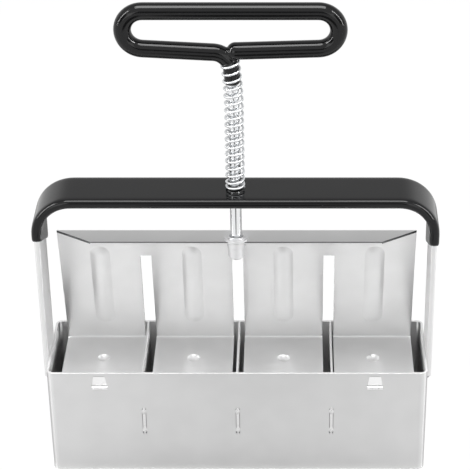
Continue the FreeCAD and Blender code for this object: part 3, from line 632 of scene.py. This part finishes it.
class SOILBLOCKER_OT_dividers(bpy.types.Operator):
    """Stake the dividers' tabs over on the outside of the walls"""

    bl_idname = "soilblocker.dividers"
    bl_label = "Dividers"

    def execute(self, context):
        settings = context.scene.soil_blocker
        metal = settings.metal
        sheet = kept_material("zinc_plated_sheet", zinc_plated_sheet, metal.sheet, metal)
        # The beads' zinc is painted lighter than the wall's, as highlight on the peened lumps.
        peened = kept_material("peened_zinc", bright_metal, metal.peened, metal)
        beads = bmesh.new()
        for node in ("divider_left", "divider_middle", "divider_right"):
            mesh = trimmed_divider(node, settings.press, beads)
            piece = mesh_object("staked_" + node, mesh, sheet, FRAME_BODY)
            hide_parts(node)
        mesh = outward_mesh("tab_beads", beads)
        mesh_object("tab_beads", mesh, peened, FRAME_BODY)
        return {"FINISHED"}


def trimmed_divider(node, press, beads):
    """A divider whose tabs are cut off at the walls' faces.

    Their beads are added to a mesh of their own, and hide the cut ends, which stay open.
    """
    low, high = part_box(node)
    middle = (low.x + high.x) / 2
    work = bmesh.new()
    work.from_mesh(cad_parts[node].data)
    for side in (-1, 1):
        everything = work.verts[:] + work.edges[:] + work.faces[:]
        bmesh.ops.bisect_plane(
            work, geom=everything, plane_co=(0, side * press.face, 0), plane_no=(0, side, 0),
            clear_outer=True,
        )
        add_stake(beads, press, middle, side * press.face)
    return creased_mesh("staked_" + node, work)


def hump(place, top, spread):
    """A smooth hump: 1 at its top, and nearly nothing two spreads away."""
    return math.exp(-(((place - top) / spread) ** 2))


def add_stake(work, press, middle, face):
    """The bead of one tab: a slim bar between two lumps, which flows out into the wall."""
    rings = []
    outward = math.copysign(1.0, face)
    for step in range(press.stake_steps + 1):
        along = 2 * step / press.stake_steps - 1
        lump = hump(abs(along), press.lump_place, press.lump_spread)
        neck = 1 - press.neck_depth * hump(abs(along), press.neck_place, press.neck_spread)
        taper = max(math.sqrt(1 - abs(along) ** END_POWER), END_WIDTH)
        wide = (press.bar_wide + (press.lump_wide - press.bar_wide) * lump) / 2 * taper
        proud = (press.bar_proud * neck + (press.lump_proud - press.bar_proud) * lump) * taper
        outline = [(wide, -BEAD_ROOT), (-wide, -BEAD_ROOT)]
        for turn in range(-CROWN_FACES, CROWN_FACES + 1):
            across = turn / CROWN_FACES
            crown = proud * (1 + math.cos(math.pi * across)) / 2
            outline.append((wide * across, crown - RIM_SUNK))
        height = press.tab_middle + along * press.tab_height / 2
        rings.append([
            work.verts.new((middle + aside, face + outward * out, height))
            for aside, out in outline
        ])
    skin_rings(work, rings)


class SOILBLOCKER_OT_bail(bpy.types.Operator):
    """Finish the bail's plated strip, its PVC and its welds"""

    bl_idname = "soilblocker.bail"
    bl_label = "Bail"

    def execute(self, context):
        settings = context.scene.soil_blocker
        metal = settings.metal
        strip = kept_material("zinc_plated_strip", zinc_plated_sheet, metal.strip, metal)
        finish_node("bail_strip", strip)
        weld = kept_material("plated_weld", weld_metal, metal.weld, metal)
        for node in ("weld_left", "weld_right"):
            finish_node(node, weld)
        coat = settings.coat
        pvc = kept_material("dipped_pvc", dipped_pvc, coat.pvc, coat)
        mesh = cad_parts["bail_coat"].data.copy()
        skin = mesh_object("bail_skin", mesh, pvc, FRAME_BODY)
        melt(skin, coat.bail_voxel)
        # Smoothing rounds the dip's rims and draws the skin in a little, so it swells out again.
        draw_back = skin.modifiers.new("draw_back", "SMOOTH")
        draw_back.iterations = coat.rims
        swell = skin.modifiers.new("swell", "DISPLACE")
        swell.mid_level = 0.0
        swell.strength = coat.swell
        applied(skin)
        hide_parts("bail_coat")
        return {"FINISHED"}


def round_bar(name, spots, radius, sides=32):
    """A closed round bar that follows points."""
    curve = bpy.data.curves.new(name, "CURVE")
    curve.dimensions = "3D"
    curve.bevel_depth = radius
    curve.bevel_resolution = sides // 4 - 1
    curve.use_fill_caps = True
    line = curve.splines.new("POLY")
    line.points.add(len(spots) - 1)
    for spot, place in zip(line.points, spots):
        spot.co = (*place, 1.0)
    wound = bpy.data.objects.new(name, curve)
    bpy.context.scene.collection.objects.link(wound)
    graph = bpy.context.evaluated_depsgraph_get()
    mesh = bpy.data.meshes.new_from_object(wound.evaluated_get(graph))
    bpy.data.objects.remove(wound)
    mesh.shade_smooth()
    return mesh


def direction(angle):
    """The direction at an angle over the horizontal, in the handle's plane."""
    return Vector((math.cos(angle), 0, math.sin(angle)))


def arc(middle, radius, start, end, steps):
    """Points of an arc in the handle's plane, from one angle to another."""
    angles = [start + (end - start) * step / steps for step in range(steps + 1)]
    return [middle + radius * direction(angle) for angle in angles]


def stem_line(handle, foot):
    """Points along the stem: straight up from its foot, then leaning slowly to the left."""
    middle = Vector((-handle.lean_radius, 0, handle.lean_from))
    start = math.asin(max(foot - handle.lean_from, 0.0) / handle.lean_radius)
    leaning_part = arc(middle, handle.lean_radius, start, handle.lean, BEND_STEPS)
    return leaning_part if start > 0 else [Vector((0, 0, foot))] + leaning_part


def loop_line(handle):
    """Points round the handle: the bend into the left limb, the loop and the right limb."""
    low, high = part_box("handle_coat")
    reach = handle.bend + handle.grip
    left = Vector((low.x + reach, 0, high.z - reach))
    right = Vector((high.x - reach, 0, high.z - reach))
    start = stem_line(handle, low.z)[-1]
    upright = Vector((math.sin(handle.left), 0, math.cos(handle.left)))
    limb = left - handle.bend * upright
    # The one radius whose bend touches both the leaning stem and the left lower limb.
    turn = (limb - start).dot(upright) / (1 - math.sin(handle.lean + handle.left))
    middle = start - turn * direction(handle.lean)
    quarter = math.pi / 2
    spots = arc(middle, turn, handle.lean, quarter - handle.left, BEND_STEPS)
    spots += arc(left, handle.bend, 3 * quarter - handle.left, quarter, LOOP_STEPS)
    spots += arc(right, handle.bend, quarter, handle.right - quarter, LOOP_STEPS)
    run = (spots[-1].x - handle.tip) / math.cos(handle.right)
    spots.append(spots[-1] - run * direction(handle.right))
    return spots


def leaning(handle, height):
    """How far the stem leans at a height, and its slope there."""
    slope = max(height - handle.lean_from, 0.0) / handle.lean_radius
    return -handle.lean_radius * slope * slope / 2, slope


class SOILBLOCKER_OT_plunger_rod(bpy.types.Operator):
    """Bend the chromed rod and finish the plated rivet nut on its foot"""

    bl_idname = "soilblocker.plunger_rod"
    bl_label = "Plunger Rod"

    def execute(self, context):
        settings = context.scene.soil_blocker
        handle = settings.handle
        metal = settings.metal
        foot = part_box("plunger_rod")[0].z
        mesh = round_bar("bent_rod", stem_line(handle, foot) + loop_line(handle)[1:], handle.rod)
        chrome = kept_material("chromed_rod", bright_metal, metal.rod, metal)
        rod = mesh_object("bent_rod", mesh, chrome, PLUNGER_BODY)
        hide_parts("plunger_rod")
        finish_node("rivet_nut", kept_material("plated_nut", bright_metal, metal.nut, metal))
        return {"FINISHED"}


class SOILBLOCKER_OT_handle_grip(bpy.types.Operator):
    """Dip the handle: one skin over the loop, its joint and the stem's top"""

    bl_idname = "soilblocker.handle_grip"
    bl_label = "Handle Grip"

    def execute(self, context):
        settings = context.scene.soil_blocker
        handle = settings.handle
        coat = settings.coat
        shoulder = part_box("return_spring")[1].z + handle.pressed
        loop = loop_line(handle)
        pvc = kept_material("dipped_pvc", dipped_pvc, coat.pvc, coat)
        mesh = dipped_mesh(handle, shoulder, loop)
        grip = mesh_object("handle_grip", mesh, pvc, PLUNGER_BODY)
        melt(grip, coat.grip_voxel)
        soften(applied(grip), coat, loop[SHOULDER_SKIN_TO - 1])
        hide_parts("handle_coat")
        return {"FINISHED"}


def dipped_mesh(handle, shoulder, loop):
    """The skins of the shoulder, the loop with its round tip, and the stem, in one mesh."""
    stem = stem_line(handle, shoulder - handle.stem_coat)
    skin = bmesh.new()
    skin.from_mesh(round_bar("shoulder_skin", stem + loop[1:SHOULDER_SKIN_TO], handle.grip))
    cut_shoulder(skin, handle, shoulder)
    skin.from_mesh(round_bar("loop_skin", loop[LOOP_SKIN_FROM:], handle.grip))
    skin.from_mesh(round_bar("stem_skin", stem + loop[1:STEM_SKIN_TO], handle.stem))
    bmesh.ops.create_uvsphere(
        skin, u_segments=32, v_segments=16, radius=handle.grip,
        matrix=Matrix.Translation(loop[-1]),
    )
    mesh = bpy.data.meshes.new("handle_grip")
    skin.to_mesh(mesh)
    skin.free()
    return mesh


def cut_shoulder(skin, handle, shoulder):
    """Ends the thick skin in a sloping shoulder that rests on the spring."""
    slope = Vector((-math.sin(handle.cut), 0, math.cos(handle.cut)))
    middle = Vector((leaning(handle, shoulder)[0], 0, shoulder))
    everything = skin.verts[:] + skin.edges[:] + skin.faces[:]
    bmesh.ops.bisect_plane(
        skin, geom=everything, plane_co=middle, plane_no=slope, clear_inner=True,
    )
    bmesh.ops.holes_fill(skin, edges=[edge for edge in skin.edges if edge.is_boundary])


def soften(mesh, coat, joint):
    """Smooths a skin lightly all over, and more where the handle's limbs meet the stem."""
    work = bmesh.new()
    work.from_mesh(mesh)
    near = [vert for vert in work.verts if (vert.co - joint).length < coat.melted]
    for verts, passes in ((work.verts, coat.even), (near, coat.melting)):
        for step in range(passes):
            bmesh.ops.smooth_vert(
                work, verts=verts, factor=0.5,
                use_axis_x=True, use_axis_y=True, use_axis_z=True,
            )
    for face in work.faces:
        face.smooth = True
    work.to_mesh(mesh)
    work.free()


class SOILBLOCKER_OT_return_spring(bpy.types.Operator):
    """Wind the return spring between the bar and the handle's shoulder"""

    bl_idname = "soilblocker.return_spring"
    bl_label = "Return Spring"

    def execute(self, context):
        settings = context.scene.soil_blocker
        spring = settings.spring
        handle = settings.handle
        metal = settings.metal
        low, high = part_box("return_spring")
        spots = spring_line(spring, handle, low.z, high.z + handle.pressed)
        mesh = round_bar("spring_coils", spots, spring.wire / 2, sides=24)
        wire = kept_material("spring_wire", bright_metal, metal.wire, metal)
        coils = mesh_object("spring_coils", mesh, wire, FRAME_BODY)
        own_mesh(coils)
        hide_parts("return_spring")
        return {"FINISHED"}


def spring_line(spring, handle, low, high):
    """Points along the spring's wire: closed turns on the bar, then open ones up the stem."""
    start = low + spring.wire / 2
    total = spring.turns + spring.closed
    rise_open = high - low - spring.wire - spring.closed * spring.lie
    count = round(total * spring.steps)
    spots = []
    for step in range(count + 1):
        turn = total * step / count
        opened = max((turn - spring.closed) / spring.turns, 0.0)
        height = start + min(turn, spring.closed) * spring.lie + opened * rise_open
        radius = spring.low + (spring.top - spring.low) * opened
        angle = math.tau * turn
        across = radius * math.cos(angle)
        aside, slope = leaning(handle, height)
        spots.append((aside + across, radius * math.sin(angle), height + across * slope))
    return spots


class SOILBLOCKER_OT_stage(bpy.types.Operator):
    """Set up the floor, the light tent and the camera"""

    bl_idname = "soilblocker.stage"
    bl_label = "Stage"

    def execute(self, context):
        stage = context.scene.soil_blocker.stage
        make_floor(stage)
        light_world(context.scene, stage)
        for name, place, size, power in LAMPS:
            add_lamp(name, place, size, power)
        place_camera(context.scene, stage)
        context.scene.view_settings.view_transform = "Standard"
        return {"FINISHED"}


def make_floor(stage):
    """A level paper floor that looks white and still takes the tool's shadow."""
    half = stage.floor_width / 2
    corners = [
        (half * across, half * away, -stage.gap)
        for across, away in ((-1, -1), (1, -1), (1, 1), (-1, 1))
    ]
    mesh = bpy.data.meshes.new("floor")
    mesh.from_pydata(corners, [], [(0, 1, 2, 3)])
    floor = bpy.data.objects.new("floor", mesh)
    bpy.context.scene.collection.objects.link(floor)
    mesh.materials.append(kept_material("matt_paper", matt_paper, stage.floor, stage))


def matt_paper(name, colour, stage):
    """Matt white paper: even and without gloss, and lit from below as in a light tent.

    It glows only where it is seen, and not under the tool, where no light comes through.
    """
    material, tree, output = new_material(name)
    path = add_node(tree, "ShaderNodeLightPath").outputs
    place = add_node(tree, "ShaderNodeTexCoord").outputs["Object"]
    fibres = add_node(
        tree, "ShaderNodeTexNoise",
        {"Vector": place, "Scale": per_metre(stage.fibre), "Detail": 2.0},
    )
    bump = add_node(
        tree, "ShaderNodeBump",
        {"Height": fibres.outputs["Fac"], "Strength": 0.02, "Distance": 0.05 * MM},
    )
    paper = add_node(
        tree, "ShaderNodeBsdfDiffuse", {"Color": colour, "Normal": bump.outputs["Normal"]},
    )
    look = shaded_reflection(tree, place, stage)
    strength = add_node(
        tree, "ShaderNodeMath", {0: path["Is Camera Ray"], 1: look}, operation="MAXIMUM",
    )
    glow = add_node(
        tree, "ShaderNodeEmission", {"Color": (1, 1, 1, 1), "Strength": strength.outputs["Value"]},
    )
    direct = add_node(
        tree, "ShaderNodeMath", {0: path["Is Camera Ray"], 1: stage.glow}, operation="MULTIPLY",
    )
    mirrored = add_node(
        tree, "ShaderNodeMath",
        {0: path["Is Glossy Ray"], 1: path["Is Transmission Ray"]}, operation="MAXIMUM",
    )
    seen = add_node(
        tree, "ShaderNodeMath",
        {0: direct.outputs["Value"], 1: mirrored.outputs["Value"]}, operation="MAXIMUM",
    )
    share = add_node(
        tree, "ShaderNodeMath",
        {0: seen.outputs["Value"], 1: outside_mould(tree, place, stage)}, operation="MULTIPLY",
    )
    both = add_node(
        tree, "ShaderNodeMixShader",
        {"Fac": share.outputs["Value"], 1: paper.outputs["BSDF"], 2: glow.outputs["Emission"]},
    )
    tree.links.new(both.outputs["Shader"], output.inputs["Surface"])
    return material


def outside_mould(tree, place, stage):
    """0 on the floor under the mould and 1 away from it, with a soft edge between them."""
    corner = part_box("mould_wall")[1]
    aside = add_node(tree, "ShaderNodeVectorMath", {0: place}, operation="ABSOLUTE")
    past = add_node(
        tree, "ShaderNodeVectorMath",
        {0: aside.outputs["Vector"], 1: (corner.x, corner.y, 0.0)}, operation="SUBTRACT",
    )
    axes = add_node(tree, "ShaderNodeSeparateXYZ", {"Vector": past.outputs["Vector"]}).outputs
    farther = add_node(
        tree, "ShaderNodeMath", {0: axes["X"], 1: axes["Y"]}, operation="MAXIMUM",
    )
    lit = add_node(
        tree, "ShaderNodeMapRange",
        {"Value": farther.outputs["Value"],
         "From Min": -stage.shade_edge, "From Max": stage.shade_edge},
    )
    return lit.outputs["Result"]


def shaded_reflection(tree, place, stage):
    """How bright the floor looks in a reflection: dimmer in its two soft ovals of shade."""
    look = stage.mirrored
    for (middle, reach), left in (
        (TOOL_SHADE, stage.shade_behind),
        (STAND_SHADE, stage.shade_ahead),
    ):
        spot = add_node(
            tree, "ShaderNodeMapping",
            {"Vector": place,
             "Location": (-middle[0] / reach[0], -middle[1] / reach[1], 0.0),
             "Scale": (1 / reach[0], 1 / reach[1], 0.0)},
        )
        away = add_node(
            tree, "ShaderNodeVectorMath", {0: spot.outputs["Vector"]}, operation="LENGTH",
        )
        shade = add_node(
            tree, "ShaderNodeMapRange",
            {"Value": away.outputs["Value"], "From Min": SHADE_INNER, "From Max": SHADE_OUTER,
             "To Min": left},
            interpolation_type="SMOOTHSTEP",
        )
        dimmer = add_node(
            tree, "ShaderNodeMath", {0: look, 1: shade.outputs["Result"]}, operation="MULTIPLY",
        )
        look = dimmer.outputs["Value"]
    return look


def light_world(scene, stage):
    """A light tent: an even, soft light all round the tool, on a white background.

    In a reflection, its back is white low down and dimmer in the roof, and its front, where
    the camera stands, is dark low down and white higher up.
    """
    world = bpy.data.worlds.new("light_tent")
    scene.world = world
    world.use_nodes = True
    tree = world.node_tree
    tree.nodes.clear()
    path = add_node(tree, "ShaderNodeLightPath").outputs
    look = add_node(tree, "ShaderNodeTexCoord").outputs["Generated"]
    look = add_node(tree, "ShaderNodeSeparateXYZ", {"Vector": look}).outputs
    low, high = (
        add_node(
            tree, "ShaderNodeMapRange",
            {"Value": look["Y"], "From Min": -stage.turn, "From Max": stage.turn,
             "To Min": front, "To Max": back},
            interpolation_type="SMOOTHSTEP",
        )
        for front, back in (
            (stage.front_low, stage.back_low),
            (stage.front_high, stage.roof_back),
        )
    )
    roof = add_node(
        tree, "ShaderNodeMapRange",
        {"Value": look["Z"], "From Min": math.sin(stage.roof_from),
         "From Max": math.sin(stage.roof_to), "To Min": low.outputs["Result"],
         "To Max": high.outputs["Result"]},
        interpolation_type="SMOOTHSTEP",
    )
    backdrop = add_node(
        tree, "ShaderNodeMath", {0: path["Is Camera Ray"], 1: roof.outputs["Result"]},
        operation="MAXIMUM",
    )
    even = add_node(tree, "ShaderNodeBackground", {"Color": stage.surround, "Strength": stage.even})
    white = add_node(
        tree, "ShaderNodeBackground",
        {"Color": stage.surround, "Strength": backdrop.outputs["Value"]},
    )
    both = add_node(
        tree, "ShaderNodeMixShader",
        {"Fac": seen_directly(tree, path), 1: even.outputs["Background"],
         2: white.outputs["Background"]},
    )
    output = add_node(tree, "ShaderNodeOutputWorld")
    tree.links.new(both.outputs["Shader"], output.inputs["Surface"])


def seen_directly(tree, path):
    """1 where the tent is seen by the camera, in a reflection or through a clear piece."""
    pair = add_node(
        tree, "ShaderNodeMath",
        {0: path["Is Camera Ray"], 1: path["Is Glossy Ray"]}, operation="MAXIMUM",
    )
    seen = add_node(
        tree, "ShaderNodeMath",
        {0: pair.outputs["Value"], 1: path["Is Transmission Ray"]}, operation="MAXIMUM",
    )
    return seen.outputs["Value"]


def add_lamp(name, place, size, power):
    """A softbox of some width and height that faces the tool."""
    lamp = bpy.data.lights.new(name, "AREA")
    lamp.shape = "RECTANGLE"
    lamp.size, lamp.size_y = size
    lamp.energy = power
    stand = bpy.data.objects.new(name, lamp)
    bpy.context.scene.collection.objects.link(stand)
    stand.location = place
    stand.visible_camera = False
    stand.rotation_euler = (LAMP_AIM - Vector(place)).to_track_quat("-Z", "Y").to_euler()


def place_camera(scene, stage):
    """A long lens that looks down at the tool from its front, level from left to right."""
    camera = bpy.data.cameras.new("camera")
    camera.sensor_width = 36.0
    camera.lens = stage.lens
    camera.shift_x = stage.shift
    camera.clip_end = 50.0
    stand = bpy.data.objects.new("camera", camera)
    scene.collection.objects.link(stand)
    stand.location = stage.stand
    stand.rotation_euler = (math.pi / 2 - stage.pitch, 0.0, 0.0)
    scene.camera = stand


class SOILBLOCKER_PT_panel(bpy.types.Panel):
    """The soil blocker's pieces and finishes"""

    bl_idname = "SOILBLOCKER_PT_panel"
    bl_label = SHELF
    bl_space_type = "VIEW_3D"
    bl_region_type = "UI"
    bl_category = SHELF

    def draw(self, context):
        for operator in OPERATORS:
            self.layout.operator(operator.bl_idname)
        settings = context.scene.soil_blocker
        for group in ("metal", "press", "coat", "handle", "spring", "stage"):
            box = self.layout.box()
            box.label(text=group.title())
            part = getattr(settings, group)
            for name in part.__annotations__:
                box.prop(part, name)


OPERATORS = (
    SOILBLOCKER_OT_sheet_metal,
    SOILBLOCKER_OT_dividers,
    SOILBLOCKER_OT_bail,
    SOILBLOCKER_OT_plunger_rod,
    SOILBLOCKER_OT_handle_grip,
    SOILBLOCKER_OT_return_spring,
    SOILBLOCKER_OT_stage,
)
CLASSES = (
    MetalSettings,
    PressSettings,
    CoatSettings,
    HandleSettings,
    SpringSettings,
    StageSettings,
    SoilBlockerSettings,
    *OPERATORS,
    SOILBLOCKER_PT_panel,
)


def register():
    """Registers the classes and gives each scene its settings."""
    for cls in CLASSES:
        bpy.utils.register_class(cls)
    bpy.types.Scene.soil_blocker = PointerProperty(type=SoilBlockerSettings)


def unregister():
    """Takes the settings and the classes away again."""
    del bpy.types.Scene.soil_blocker
    for cls in reversed(CLASSES):
        bpy.utils.unregister_class(cls)


def main():
    """Builds every piece."""
    register()
    for operator in OPERATORS:
        family, name = operator.bl_idname.split(".")
        getattr(getattr(bpy.ops, family), name)()


if __name__ == "__main__":
    main()
